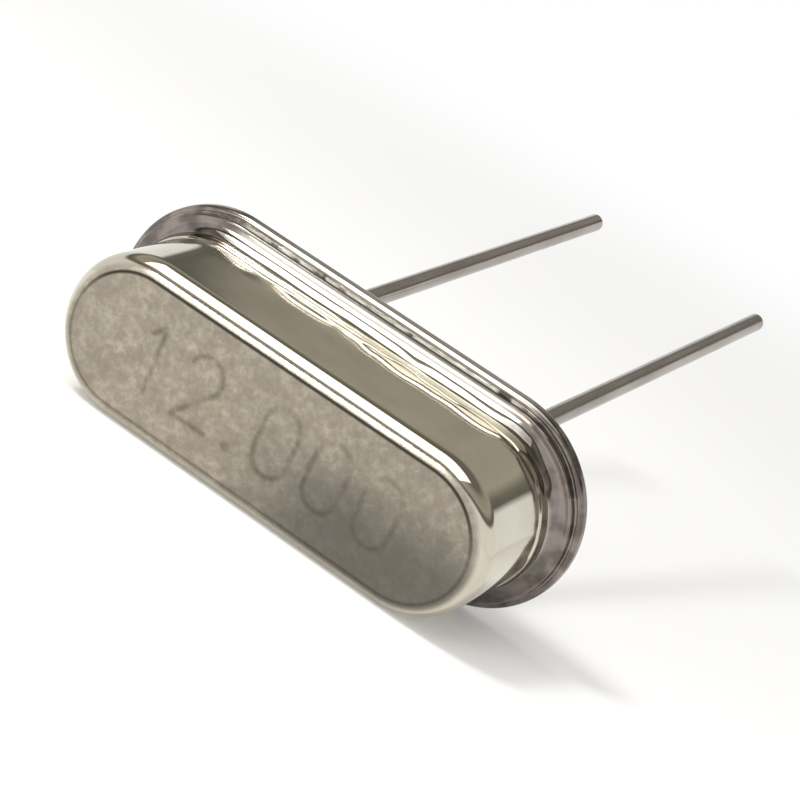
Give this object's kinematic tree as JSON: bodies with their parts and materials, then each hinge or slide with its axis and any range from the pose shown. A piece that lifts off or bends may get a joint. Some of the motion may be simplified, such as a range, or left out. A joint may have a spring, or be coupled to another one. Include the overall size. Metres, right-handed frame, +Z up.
{
  "type": "crystal oscillator",
  "caption": "Low quartz crystal unit: a drawn metal can with round ends, welded to a rimmed base that glass-seals its wire leads, lying on its long side.",
  "frame": {"origin": "middle of the bounding box in plan, on the surface that the part lies on", "axes": "+Z up, the part lying on its long side; +X along the can; the top of the can faces -Y and the leads run towards +Y, rising about 12 degrees"},
  "size_m": [0.0112, 0.0194, 0.0058],
  "materials": {
    "can_metal": "bright drawn nickel silver, satin on the flat top",
    "base_metal": "satin nickel plate",
    "seal_glass": "dark fired sealing glass",
    "lead_wire": "bright tinned wire",
    "clip_metal": "bright rolled spring strip",
    "conductive_glue": "matte silver-filled resin",
    "quartz": "fine-lapped clear quartz",
    "electrode_film": "evaporated silver"
  },
  "bodies": {
    "root": {"can": "can_metal", "base": "base_metal", "glass_seal_left": "seal_glass", "glass_seal_right": "seal_glass", "lead_left": "lead_wire", "lead_right": "lead_wire", "mount_clip_left": "clip_metal", "mount_clip_right": "clip_metal", "conductive_glue_left": "conductive_glue", "conductive_glue_right": "conductive_glue", "quartz_blank": "quartz", "electrode_upper": "electrode_film", "electrode_lower": "electrode_film"}
  },
  "joints": []
}
